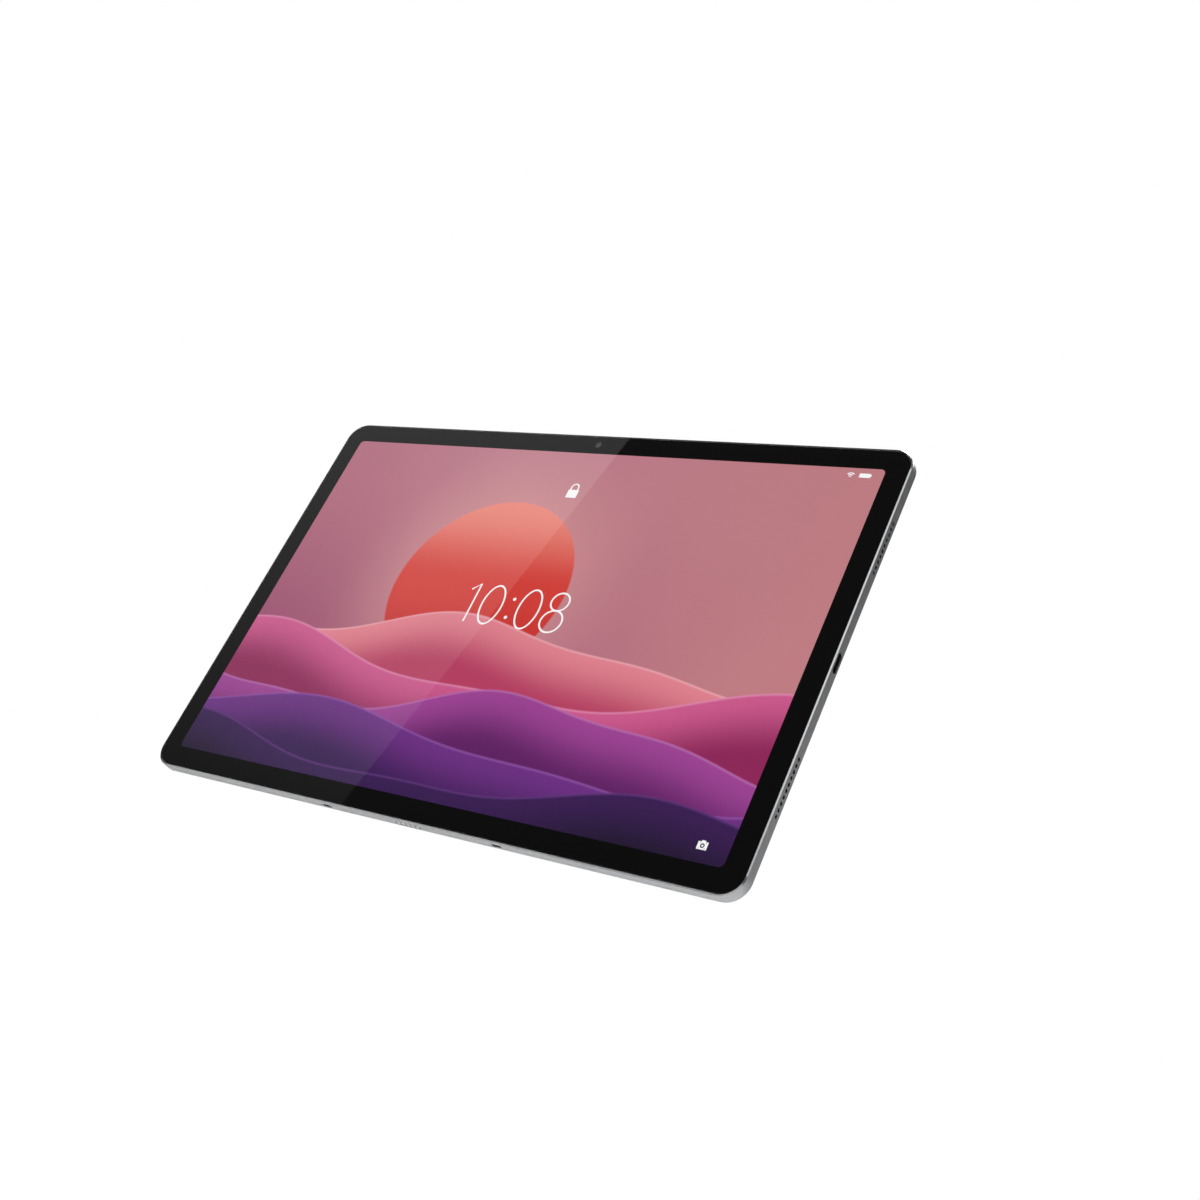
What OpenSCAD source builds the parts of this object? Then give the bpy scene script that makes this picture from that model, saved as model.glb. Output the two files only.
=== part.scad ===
// Slim landscape tablet computer with an aluminium frame, a metal rear cover and a separate antenna panel.
// Frame of the part: X to the right of the screen, +Z up the screen, the screen faces -Y.
// The origin is where a keyboard or stand holds it: the middle of the contacts on the bottom edge.
// Inside the modules a flat working frame is used: X right, Y up, depth measured backwards from the glass.

/* [Body] */
// Width of the body, landscape
body_w = 293.4; // [285:0.1:300]
// Height of the body, landscape
body_h = 190.8; // [185:0.1:198]
// Thickness of the body without the camera plate
body_t = 5.9; // [5.9:0.05:6.4]
// Outer corner radius of the frame
corner_r = 9; // [7:0.5:12]
// Chamfer of the frame around the glass
front_chamfer = 0.45; // [0.3:0.05:0.6]
// Width of the softened edge of the frame at the back
back_edge = 0.8; // [0.6:0.1:1]
// Thickness of the rear cover and the antenna panel
cover_t = 0.7; // [0.6:0.05:0.8]
// Height of the antenna panel from the top of the body down
antenna_band = 58.5; // [54:0.5:62]

/* [Display] */
// Thickness of the cover glass
glass_t = 0.55; // [0.5:0.05:0.6]
// Distance from the outside of the frame to the glass
glass_inset = 0.7; // [0.65:0.05:0.9]
// Width of the lit display
display_w = 273.5; // [268:0.1:275]
// Height of the lit display
display_h = 170.9; // [166:0.1:172]
// Corner radius of the lit display
display_r = 2.2; // [1:0.1:4]
// Number of backlight LEDs
led_count = 36; // [24:1:40]

/* [Camera plate] */
// Length of the camera plate
plate_w = 46; // [44:0.5:48]
// Height of the camera plate
plate_h = 20.3; // [19:0.1:22]
// How far the camera plate stands out of the back
plate_t = 0.9; // [0.7:0.1:1.2]
// Corner radius of the camera plate
plate_r = 4; // [2:0.5:6]
// Distance from the top of the body to the plate
plate_top = 6.5; // [6:0.5:8]
// Distance from the side of the body to the plate
plate_side = 9.5; // [8:0.5:11]
// Distance from the plate's outer end to the lens
lens_from_end = 10.9; // [10:0.1:12]
// Distance between the lens and the flash
lens_pitch = 17.2; // [16:0.1:18]
// Outer radius of the lens bezel and of the flash ring
ring_r = 7; // [6.5:0.1:7.4]

/* [Sound] */
// Speaker holes in one group
hole_count = 10; // [8:1:11]
// Distance between speaker holes
hole_pitch = 2.5; // [2.3:0.05:2.6]
// Diameter of a speaker hole
hole_d = 1.6; // [1.2:0.1:1.7]
// Distance of a speaker group from the middle of the short edge
speaker_y = 51; // [48:0.5:54]

/* [Controls] */
// Length of the power key
power_len = 16; // [14:0.5:18]
// Height of the power key above the middle of the short edge
power_y = 77; // [76:0.5:78]
// Length of the volume key
volume_len = 22; // [20:0.5:26]
// Sideways position of the volume key on the top edge
volume_x = -104; // [-110:1:-100]
// Height of a key's face
key_h = 2.2; // [1.8:0.1:2.4]
// How far a key stands out of the frame
key_proud = 0.2; // [0.1:0.05:0.3]
// Gap around a key in its opening
key_gap = 0.15; // [0.1:0.05:0.2]

/* [Ports] */
// Outer width of the USB-C shell
usb_w = 8.94; // [8.9:0.01:9]
// Outer height of the USB-C shell
usb_h = 3.16; // [3.1:0.01:3.2]
// Length of the card tray's face
tray_len = 20; // [18:0.5:22]
// Height of the card tray's middle below the middle of the short edge
tray_y = -14.8; // [-17:0.1:-13]
// Depth of the card tray in the body
tray_depth = 23; // [20:0.5:24]
// Distance between the two keyboard slots on the bottom edge
dock_slot_pitch = 86.4; // [80:0.1:92]
// Number of keyboard contacts
contact_count = 5; // [3:1:5]
// Distance between keyboard contacts
contact_pitch = 2.4; // [2.2:0.1:2.6]

/* [Hidden] */
$fn = 48;
EPS = 0.01;
half_w = body_w / 2;
half_h = body_h / 2;
mid_depth = body_t / 2;
flush = 0.05;

// depths of the layers, from the face of the glass to the back
mask_t = 0.05;
lcd_front = glass_t + mask_t;
lcd_back = lcd_front + 0.75;
films_back = lcd_back + 0.25;
guide_back = films_back + 0.55;
reflector_back = guide_back + 0.12;
tray_back = reflector_back + 0.15;
plate_front = tray_back + 0.08;
plate_back = plate_front + 0.3;
board_front = plate_back + 0.15;
board_back = board_front + 0.5;
cover_front = body_t - cover_t;
seat_depth = cover_front - 0.05;
cell_front = plate_back + 0.1;
cell_back = seat_depth - 0.1;
bump_back = body_t + plate_t;
lens_back = bump_back + 0.1;

// walls of the side frame, measured inwards from its outside
lip = glass_inset - 0.08;
wall = 2.3;
ledge = 3.2;
seat = 1.55;
cover_inset = 1.65;

lcd_w = display_w + 3.5;
lcd_h = display_h + 3.5;
backlight_w = lcd_w + 0.6;
backlight_h = lcd_h + 0.6;
backlight_wall = 0.5;
led_strip_h = 1.2;

plate_x = -half_w + plate_side + plate_w / 2;
plate_y = half_h - plate_top - plate_h / 2;
lens_x = -half_w + plate_side + lens_from_end;
flash_x = lens_x + lens_pitch;
lens_r = ring_r - 1.15;
split_y = half_h - antenna_band;
split_gap = 0.1;

badge_w = 6.4;
badge_h = 34;
badge_t = 0.3;
badge_x = half_w - 2.3 - badge_w / 2;
badge_y = split_y + badge_h / 2 + 5.5;

speaker_len = 34;
speaker_w = 14;
mouth_len = hole_count * hole_pitch + 1;
mouth_front = 2.1;
mouth_back = 3.8;
key_opening = key_h + 2 * key_gap;
key_flange = 0.4;
power_flange_x = wall + 0.1;
volume_flange_y = wall + 0.35;
tray_h = 2.2;
tray_gap = 0.12;
tray_face = 1.2;
contact_d = 1.5;
contact_y = -half_h;
dock_len = (contact_count - 1) * contact_pitch + 3.4;
dock_h = 2.4;
dock_slot_len = 4.4;
dock_slot_h = 1.8;
front_camera_y = half_h - (body_h - display_h) / 4 - 0.3;
usb_len = 6.8;
usb_lip = 0.2;
mic_x = [-40, 40];
mic_hole_d = 0.8;

// boards: lower left corners and sizes
main_board_low = [-98, 50];
main_board_size = [168, 37.2];
driver_low = [-50, -84];
driver_high = [50, -76];
usb_board_low = [128, -14];
usb_board_size = [15.5, 28];
plug_t = 0.9;
shield_t = 1.4;

// screws, which hold the boards to the mid plate
board_holes = [[-94, 84], [-94, 54], [-14, 84], [-14, 54], [66, 84], [66, 54]];
usb_holes = [[131, 11], [131, -11]];
screw_r = 0.7;
screw_head_r = 1.4;
screw_head_t = 0.4;
screw_hole_r = 0.8;

flex_t = 0.1;
panel_flex_t = 0.12;
panel_flex_w = 24;
panel_flex_x = [-25, 25];
antenna_x = [-60, 100];
battery_pad_x = [-90, -30, 30, 90];

// steps in the camera plate
glass_seat = 0.5;
ring_seat = 0.4;
ring_w = 0.8;
flash_r = 2.3;
camera_window_r = 1.5;

// ---- helpers ----

// working frame to the part's frame: the origin is the middle of the keyboard contacts on the bottom edge
module in_frame() {
    translate([0, -mid_depth, half_h])
        rotate([90, 0, 0])
            children();
}

// a flat outline as a layer between two depths
module layer(front, back) {
    translate([0, 0, -back])
        linear_extrude(back - front)
            children();
}

module rounded(w, h, r) {
    square([w - 2 * r, h], center = true);
    square([w, h - 2 * r], center = true);
    for (x = [-1, 1], y = [-1, 1])
        translate([x * (w / 2 - r), y * (h / 2 - r)])
            circle(r, $fn = 96);
}

// an outline with round ends: len along Y, wide along X
module stadium(len, wide) {
    square([wide, len - wide], center = true);
    for (y = [-1, 1])
        translate([0, y * (len - wide) / 2])
            circle(d = wide);
}

// a block between two corners of the working frame: [x0, y0], [x1, y1] and two depths
module block(low, high, front, back) {
    layer(front, back)
        translate(low)
            square(high - low);
}

// along X from x0 to x1, outline's X towards the back
module along_x(x0, x1, y, depth) {
    translate([x0, y, -depth])
        rotate([0, 90, 0])
            linear_extrude(x1 - x0)
                children();
}

// along Y from y0 to y1, outline's Y along the edge
module along_y(x, y0, y1, depth) {
    translate([x, y0, -depth])
        rotate([-90, 0, 0])
            linear_extrude(y1 - y0)
                rotate([0, 0, 90])
                    children();
}

// a section of [distance inwards, depth] points, swept around a rounded outline
module rim(section, w, h, r) {
    for (side = [[0, w, h], [90, h, w], [180, w, h], [270, h, w]])
        rotate([0, 0, side[0]])
            rotate([90, 0, 0])
                linear_extrude(side[2] - 2 * r, center = true)
                    polygon([for (p = section) [side[1] / 2 - p[0], -p[1]]]);
    for (corner = [[1, 1, 0], [-1, 1, 90], [-1, -1, 180], [1, -1, 270]])
        translate([corner[0] * (w / 2 - r), corner[1] * (h / 2 - r), 0])
            rotate([0, 0, corner[2]])
                rotate_extrude(angle = 90, $fn = 96)
                    polygon([for (p = section) [r - p[0], -p[1]]]);
}

function along_row(count, pitch) = [for (i = [0:count - 1]) (i - (count - 1) / 2) * pitch];

// ---- display ----

module cover_glass() {
    w = body_w - 2 * glass_inset;
    h = body_h - 2 * glass_inset;
    r = corner_r - glass_inset;
    edge = [[0.22, 0], [0.06, 0.07], [0, 0.22], [0, glass_t - 0.06], [0.06, glass_t], [3, glass_t], [3, 0]];
    color([0.05, 0.05, 0.06]) in_frame() {
        layer(0, glass_t) rounded(w - 2, h - 2, r - 1);
        rim(edge, w, h, r);
    }
}

module bezel_mask() {
    color([0.01, 0.01, 0.01]) in_frame()
        layer(glass_t, glass_t + mask_t)
            difference() {
                rounded(body_w - 2, body_h - 2, corner_r - 1);
                rounded(display_w, display_h, display_r);
                translate([0, front_camera_y]) circle(camera_window_r);
            }
}

module display_gasket() {
    color([0.08, 0.08, 0.08]) in_frame()
        layer(glass_t + mask_t, glass_t + 0.1)
            difference() {
                rounded(body_w - 2, body_h - 2, corner_r - 1);
                rounded(body_w - 2 * ledge, body_h - 2 * ledge, corner_r - ledge);
            }
}

module lcd_panel() {
    color([0.75, 0.45, 0.5]) in_frame()
        layer(lcd_front, lcd_back)
            square([lcd_w, lcd_h], center = true);
}

module optical_films() {
    color([0.9, 0.92, 0.94]) in_frame()
        layer(lcd_back, films_back)
            square([lcd_w - 1.2, lcd_h - 1.2], center = true);
}

module light_guide() {
    color([0.8, 0.88, 0.9]) in_frame()
        layer(films_back, guide_back)
            translate([0, led_strip_h / 2])
                square([lcd_w - 1.2, lcd_h - 1.2 - led_strip_h], center = true);
}

module led_strip() {
    y = -lcd_h / 2 + 0.6;
    pitch = (lcd_w - 12) / led_count;
    color([0.95, 0.9, 0.6]) in_frame() {
        block([-lcd_w / 2 + 2, y], [lcd_w / 2 - 2, y + led_strip_h - 0.2], guide_back - 0.12, guide_back);
        for (x = along_row(led_count, pitch))
            block([x - 1.5, y + 0.1], [x + 1.5, y + led_strip_h - 0.3], films_back + 0.02, guide_back);
    }
}

module reflector_sheet() {
    color([0.93, 0.94, 0.95]) in_frame()
        layer(guide_back, reflector_back)
            square([lcd_w - 0.8, lcd_h - 0.8], center = true);
}

module backlight_tray() {
    color([0.6, 0.61, 0.62]) in_frame() {
        layer(reflector_back, tray_back)
            square([backlight_w, backlight_h], center = true);
        layer(lcd_back, tray_back)
            difference() {
                square([backlight_w, backlight_h], center = true);
                square([backlight_w - 2 * backlight_wall, backlight_h - 2 * backlight_wall], center = true);
            }
    }
}

// ---- frame and covers ----

module speaker_holes(x0, x1) {
    for (side = [-1, 1], y = along_row(hole_count, hole_pitch))
        translate([x0, side * speaker_y + y, -mid_depth])
            rotate([0, 90, 0])
                cylinder(h = x1 - x0, d = hole_d, $fn = 24);
}

module frame_openings() {
    through = wall + 2;
    speaker_holes(-half_w - 1, -half_w + through);
    speaker_holes(half_w - through, half_w + 1);
    along_x(half_w - through, half_w + 1, 0, mid_depth) stadium(usb_w + 0.1, usb_h + 0.1);
    along_x(-half_w - 1, -half_w + through, power_y, mid_depth)
        stadium(power_len + 2 * key_gap, key_opening);
    along_x(-half_w - 1, -half_w + through, tray_y, mid_depth)
        stadium(tray_len + 2 * tray_gap, tray_h + 2 * tray_gap);
    along_y(volume_x, half_h - through, half_h + 1, mid_depth)
        stadium(volume_len + 2 * key_gap, key_opening);
    along_y(0, -half_h - 1, -half_h + through, mid_depth) stadium(dock_len, dock_h);
    for (x = [-1, 1] * dock_slot_pitch / 2)
        along_y(x, -half_h - 1, -half_h + through, mid_depth) stadium(dock_slot_len, dock_slot_h);
    for (x = mic_x)
        translate([x, half_h - through, -mid_depth])
            rotate([-90, 0, 0])
                cylinder(h = through + 1, d = mic_hole_d, $fn = 24);
}

module side_frame() {
    section = [[lip, flush], [front_chamfer, flush], [0, flush + front_chamfer], [0, body_t - back_edge],
        [back_edge * 0.29, body_t - back_edge * 0.29], [back_edge, body_t], [seat, body_t],
        [seat, seat_depth], [wall, seat_depth], [wall, lcd_back], [ledge, lcd_back],
        [ledge, glass_t + 0.1], [lip, glass_t + 0.1]];
    color([0.66, 0.67, 0.69]) in_frame()
        difference() {
            rim(section, body_w, body_h, corner_r);
            frame_openings();
        }
}

module mid_plate_outline() {
    edge = wall + 0.1;
    difference() {
        rounded(body_w - 2 * edge, body_h - 2 * edge, corner_r - edge);
        for (x = [-1, 1], y = [-1, 1])
            translate([x * (half_w - edge), y * speaker_y])
                square([5, mouth_len + 1], center = true);
        translate([half_w - 6, 0]) square([12, usb_w + 1.5], center = true);
        translate([-half_w + 12.5, tray_y]) square([28, tray_len + 2], center = true);
        translate([-half_w + 2, power_y]) square([5, power_len + 3], center = true);
        translate([volume_x, half_h - 2]) square([volume_len + 4, 5], center = true);
        translate([0, -half_h + 2]) square([dock_len + 4, 8], center = true);
        for (x = [-1, 1] * dock_slot_pitch / 2)
            translate([x, -half_h + 2]) square([dock_slot_len + 3, 4], center = true);
        translate([0, front_camera_y]) square([7.5, 6], center = true);
        for (x = mic_x)
            translate([x, half_h - 3]) square([5, 4], center = true);
        for (x = panel_flex_x)
            translate([x, -89.7]) square([panel_flex_w + 1.5, 1.6], center = true);
        for (p = concat(board_holes, usb_holes))
            translate(p) circle(screw_r + 0.02, $fn = 24);
    }
}

module mid_plate() {
    color([0.5, 0.51, 0.53]) in_frame()
        layer(plate_front, plate_back)
            mid_plate_outline();
}

module cover_outline() {
    rounded(body_w - 2 * cover_inset, body_h - 2 * cover_inset, corner_r - cover_inset);
}

module rear_cover() {
    color([0.43, 0.44, 0.45]) in_frame()
        layer(cover_front, body_t)
            intersection() {
                cover_outline();
                translate([-half_w, -half_h]) square([body_w, split_y - split_gap / 2 + half_h]);
            }
}

module antenna_panel() {
    color([0.35, 0.36, 0.37]) in_frame()
        difference() {
            layer(cover_front, body_t)
                difference() {
                    intersection() {
                        cover_outline();
                        translate([-half_w, split_y + split_gap / 2]) square([body_w, half_h]);
                    }
                    translate([lens_x, plate_y]) circle(5);
                    translate([flash_x, plate_y]) circle(2.6);
                }
            layer(body_t - badge_t, body_t + 1)
                translate([badge_x, badge_y]) rounded(badge_w + 0.1, badge_h + 0.1, 0.85);
        }
}

module cover_adhesive() {
    color([0.1, 0.1, 0.1]) in_frame()
        layer(seat_depth, cover_front)
            difference() {
                cover_outline();
                rounded(body_w - 2 * wall, body_h - 2 * wall, corner_r - wall);
            }
}

module badge_plate() {
    color([0.78, 0.78, 0.79]) in_frame()
        layer(body_t - badge_t, body_t)
            translate([badge_x, badge_y])
                rounded(badge_w, badge_h, 0.8);
}

// ---- battery and boards ----

cell_low = [2.2, -62];
cell_high = [118, 42];

module cell(mirrored) {
    mirror([mirrored ? 1 : 0, 0, 0]) {
        block(cell_low, cell_high, cell_front, cell_back);
        block([10, cell_high[1]], [28, cell_high[1] + 1.2], cell_front + 0.8, cell_front + 1.1);
    }
}

module battery_left() {
    color([0.18, 0.18, 0.2]) in_frame() cell(true);
}

module battery_right() {
    color([0.18, 0.18, 0.2]) in_frame() cell(false);
}

module battery_adhesive() {
    color([0.9, 0.9, 0.88]) in_frame()
        for (x = battery_pad_x)
            block([x - 12, -58], [x + 12, 38], plate_back, cell_front);
}

module battery_board() {
    color([0.1, 0.28, 0.16]) in_frame() {
        block([-60, 43.4], [60, 48], board_front, board_back - 0.1);
        block([-40, 44.2], [-28, 47.2], board_back - 0.1, board_back + plug_t);
    }
}

module main_board() {
    color([0.08, 0.25, 0.2]) in_frame() {
        layer(board_front, board_back)
            difference() {
                translate(main_board_low) square(main_board_size);
                for (p = board_holes)
                    translate(p) circle(screw_hole_r, $fn = 24);
            }
        for (x = [-6, 6, 56])
            block([x - 4, 51], [x + 4, 53], board_back, board_back + plug_t);
    }
}

module chip(low, high, tall) {
    color([0.12, 0.12, 0.13]) in_frame()
        block(low, high, board_back, board_back + tall);
}

module processor() {
    chip([-72, 62], [-58, 76], 0.9);
}

module memory_chip() {
    chip([-50, 62], [-38, 75], 0.8);
}

module power_chip() {
    chip([18, 64], [26, 72], 0.7);
}

module shield(low, high) {
    skin = 0.2;
    color([0.72, 0.72, 0.7]) in_frame()
        difference() {
            block(low, high, board_back, board_back + shield_t);
            block(low + [skin, skin], high - [skin, skin], board_back - 1, board_back + shield_t - skin);
        }
}

module shield_large() {
    shield([-84, 56], [-28, 82]);
}

module shield_small() {
    shield([6, 56], [46, 82]);
}

module heat_spreader() {
    color([0.22, 0.22, 0.23]) in_frame()
        block([-82, 58], [-30, 80], board_back + shield_t, board_back + shield_t + 0.1);
}

module board_screws() {
    color([0.7, 0.7, 0.68]) in_frame()
        for (p = concat(board_holes, usb_holes))
            translate([p[0], p[1], -board_back]) {
                translate([0, 0, -screw_head_t]) cylinder(h = screw_head_t, r = screw_head_r, $fn = 24);
                translate([0, 0, -EPS]) cylinder(h = board_back - plate_front + EPS, r = screw_r, $fn = 24);
            }
}

module driver_board() {
    color([0.08, 0.25, 0.2]) in_frame()
        block(driver_low, driver_high, board_front, board_back - 0.1);
}

// ribbons from the display around the backlight tray to the driver board
module panel_flexes() {
    low = -lcd_h / 2;
    outer = low - 2.3;
    inner = outer + panel_flex_t;
    front = -1.0;
    back = -board_front;
    end = driver_high[1] - 2;
    bent = [[front, low], [front, outer], [back, outer], [back, end], [back + panel_flex_t, end],
        [back + panel_flex_t, inner], [front - panel_flex_t, inner], [front - panel_flex_t, low]];
    color([0.75, 0.45, 0.15]) in_frame()
        for (x = panel_flex_x)
            translate([x + panel_flex_w / 2, 0, 0])
                rotate([0, -90, 0])
                    linear_extrude(panel_flex_w)
                        polygon(bent);
}

module display_flex() {
    color([0.75, 0.45, 0.15]) in_frame() {
        block([-1.8, -77], [1.8, 53], plate_back, plate_back + flex_t);
        block([-8, -77], [8, -75], plate_back, plate_back + flex_t);
    }
}

module main_flex() {
    color([0.75, 0.45, 0.15]) in_frame() {
        block([66, 51], [70, 53], plate_back, board_front);
        block([66, 43.6], [70, 52], plate_back, board_front - 0.03);
        block([66, 43.6], [126, 48], plate_back, board_front - 0.03);
        block([121.6, 7], [126, 48], plate_back, board_front - 0.03);
        block([121.6, 7], [132, 10], plate_back, board_front - 0.03);
    }
}

module wifi_antennas() {
    color([0.7, 0.55, 0.2]) in_frame()
        for (x = antenna_x)
            layer(seat_depth - 0.2, seat_depth)
                translate([x, 90.6])
                    difference() {
                        square([40, 3.4], center = true);
                        translate([3, 0.8]) square([28, 0.9], center = true);
                    }
}

// ---- USB-C port ----

module usb_board() {
    color([0.08, 0.25, 0.2]) in_frame()
        layer(board_front, board_back)
            difference() {
                translate(usb_board_low) square(usb_board_size);
                translate([half_w - 4, 0]) square([10, usb_w + 0.4], center = true);
                for (p = usb_holes)
                    translate(p) circle(screw_hole_r, $fn = 24);
            }
}

module usb_shell() {
    skin = 0.3;
    x1 = half_w - usb_lip;
    color([0.62, 0.62, 0.62]) in_frame()
        difference() {
            along_x(x1 - usb_len, x1, 0, mid_depth) stadium(usb_w, usb_h);
            along_x(x1 - usb_len + skin, x1 + 1, 0, mid_depth) stadium(usb_w - 2 * skin, usb_h - 2 * skin);
        }
}

module usb_tongue() {
    x1 = half_w - usb_lip - 0.6;
    x0 = half_w - usb_lip - usb_len + 0.3;
    color([0.05, 0.05, 0.05]) in_frame() {
        block([x0, -3.3], [x1, 3.3], mid_depth - 0.35, mid_depth + 0.35);
        block([x0, -3.8], [x0 + 1.4, 3.8], mid_depth - 0.8, mid_depth + 0.8);
    }
}

// ---- sound ----

module speaker(sx, sy) {
    back_x = half_w - wall - 0.4;
    color([0.07, 0.07, 0.08]) in_frame()
        mirror([sx < 0 ? 1 : 0, 0, 0])
            translate([0, sy * speaker_y, 0]) {
                block([back_x - speaker_w, -speaker_len / 2], [back_x, speaker_len / 2],
                    cell_front, cell_back);
                block([back_x - 1, -mouth_len / 2], [back_x + 0.2, mouth_len / 2], mouth_front, mouth_back);
            }
}

module speaker_upper_left() {
    speaker(-1, 1);
}

module speaker_lower_left() {
    speaker(-1, -1);
}

module speaker_upper_right() {
    speaker(1, 1);
}

module speaker_lower_right() {
    speaker(1, -1);
}

module speaker_meshes() {
    x0 = half_w - wall - 0.2;
    color([0.15, 0.15, 0.16]) in_frame()
        for (sx = [0, 1], sy = [-1, 1])
            mirror([sx, 0, 0])
                block([x0, sy * speaker_y - mouth_len / 2], [x0 + 0.15, sy * speaker_y + mouth_len / 2],
                    mouth_front, mouth_back);
}

module microphones() {
    color([0.7, 0.65, 0.45]) in_frame()
        for (x = mic_x)
            block([x - 1.8, half_h - wall - 1.5], [x + 1.8, half_h - wall - 0.1], mid_depth - 1, mid_depth + 1);
}

// ---- cameras ----

module camera_plate() {
    bevel = 0.35;
    color([0.6, 0.61, 0.62]) in_frame()
        translate([plate_x, plate_y, 0])
            difference() {
                union() {
                    layer(body_t, bump_back) rounded(plate_w - 2, plate_h - 2, plate_r - 1);
                    rim([[0, body_t], [0, bump_back - bevel], [bevel, bump_back], [2, bump_back], [2, body_t]],
                        plate_w, plate_h, plate_r);
                }
                translate([lens_x - plate_x, 0, 0]) layer(body_t - 1, bump_back + 1) circle(ring_r + 0.05);
                translate([flash_x - plate_x, 0, 0]) {
                    layer(body_t - 1, bump_back + 1) circle(flash_r);
                    layer(bump_back - ring_seat, bump_back + 1)
                        difference() {
                            circle(ring_r + 0.05);
                            circle(ring_r - ring_w - 0.05);
                        }
                }
            }
}

module lens_bezel() {
    color([0.2, 0.2, 0.21]) in_frame()
        translate([lens_x, plate_y, 0])
            difference() {
                layer(body_t, lens_back) circle(ring_r);
                layer(lens_back - glass_seat, lens_back + 1) circle(lens_r + 0.05);
                layer(body_t - 1, lens_back + 1) circle(4.8);
            }
}

module lens_cover() {
    color([0.02, 0.02, 0.03]) in_frame()
        translate([lens_x, plate_y, 0])
            layer(lens_back - glass_seat, lens_back - 0.08)
                circle(lens_r);
}

module rear_camera() {
    color([0.08, 0.08, 0.09]) in_frame()
        translate([lens_x, plate_y, 0]) {
            layer(cell_front, cover_front - 0.1) square([11, 11], center = true);
            layer(cell_front, body_t - 0.1) circle(4.6);
            difference() {
                layer(cell_front, lens_back - 0.6) circle(4.2);
                layer(lens_back - 1, lens_back) circle(2.6);
            }
        }
}

module flash_ring() {
    color([0.9, 0.9, 0.9]) in_frame()
        translate([flash_x, plate_y, 0])
            layer(bump_back - ring_seat, bump_back - 0.02)
                difference() {
                    circle(ring_r);
                    circle(ring_r - ring_w);
                }
}

module flash_lens() {
    color([0.98, 0.96, 0.88]) in_frame()
        translate([flash_x, plate_y, 0]) {
            layer(body_t, bump_back - 0.05) circle(flash_r - 0.05);
            layer(body_t - 0.2, bump_back - 0.05) circle(1.8);
        }
}

module flash_led() {
    color([0.95, 0.9, 0.5]) in_frame()
        translate([flash_x, plate_y, 0]) {
            layer(cover_front - 0.6, cover_front - 0.1) square([6, 5], center = true);
            layer(cover_front - 0.1, body_t - 0.3) square([2.4, 2.4], center = true);
        }
}

module front_camera() {
    color([0.04, 0.04, 0.05]) in_frame()
        translate([0, front_camera_y, 0]) {
            layer(glass_t + 0.02, 1.4) circle(camera_window_r - 0.05);
            layer(1.3, 4.2) translate([0, -0.2]) square([6.5, 4], center = true);
        }
}

// ---- keys ----

module power_key() {
    x0 = -half_w - key_proud;
    flange_x = -half_w + power_flange_x;
    color([0.6, 0.61, 0.63]) in_frame()
        difference() {
            union() {
                along_x(x0, flange_x + EPS, power_y, mid_depth) stadium(power_len, key_h);
                along_x(flange_x, flange_x + key_flange, power_y, mid_depth) stadium(power_len + 1.6, 2.8);
            }
            along_x(x0 - 1, x0 + 0.3, power_y, mid_depth) stadium(power_len - 1.6, key_h - 0.8);
        }
}

module fingerprint_sensor() {
    x0 = -half_w - key_proud;
    color([0.3, 0.3, 0.32]) in_frame()
        along_x(x0 + 0.08, x0 + 0.3, power_y, mid_depth) stadium(power_len - 1.7, key_h - 0.9);
}

module volume_key() {
    y1 = half_h + key_proud;
    flange_y = half_h - volume_flange_y;
    color([0.66, 0.67, 0.69]) in_frame() {
        along_y(volume_x, flange_y - EPS, y1, mid_depth) stadium(volume_len, key_h);
        along_y(volume_x, flange_y - key_flange, flange_y, mid_depth) stadium(volume_len + 1.2, 2.8);
    }
}

module key_switches() {
    power_x = -half_w + power_flange_x + key_flange + 0.35;
    volume_y = half_h - volume_flange_y - key_flange - 0.35;
    color([0.8, 0.8, 0.78]) in_frame() {
        block([power_x, power_y - 2.5], [power_x + 0.7, power_y + 2.5], mid_depth - 1.1, mid_depth + 1.1);
        for (x = [volume_x - 7.5, volume_x + 7.5])
            block([x - 2.5, volume_y - 0.7], [x + 2.5, volume_y], mid_depth - 1.1, mid_depth + 1.1);
    }
}

// ---- memory card tray ----

module card_tray() {
    color([0.66, 0.67, 0.69]) in_frame()
        difference() {
            union() {
                along_x(-half_w, -half_w + tray_face, tray_y, mid_depth) stadium(tray_len, tray_h);
                block([-half_w + tray_face - EPS, tray_y - 9.2], [-half_w + tray_depth, tray_y + 9.2],
                    mid_depth - 0.35, mid_depth + 0.5);
            }
            block([-half_w + 6, tray_y - 5.6], [-half_w + 21.2, tray_y + 5.6], mid_depth - 0.2, mid_depth + 1);
            block([-half_w + 8, tray_y - 4.6], [-half_w + 19.2, tray_y + 4.6], mid_depth - 1, mid_depth + 1);
            translate([-half_w - 1, tray_y + tray_len / 2 - 2.2, -mid_depth])
                rotate([0, 90, 0])
                    cylinder(h = tray_face + 2, d = 0.9, $fn = 24);
        }
}

module card_reader() {
    x0 = -half_w + 3.3;
    x1 = -half_w + tray_depth + 1.6;
    color([0.7, 0.7, 0.68]) in_frame()
        difference() {
            block([x0, tray_y - 10], [x1, tray_y + 10], plate_front, mid_depth + 1);
            block([x0 - 1, tray_y - 9.7], [x1 - 0.8, tray_y + 9.7], plate_front - 1, mid_depth + 0.8);
        }
}

// ---- keyboard dock ----

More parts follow.
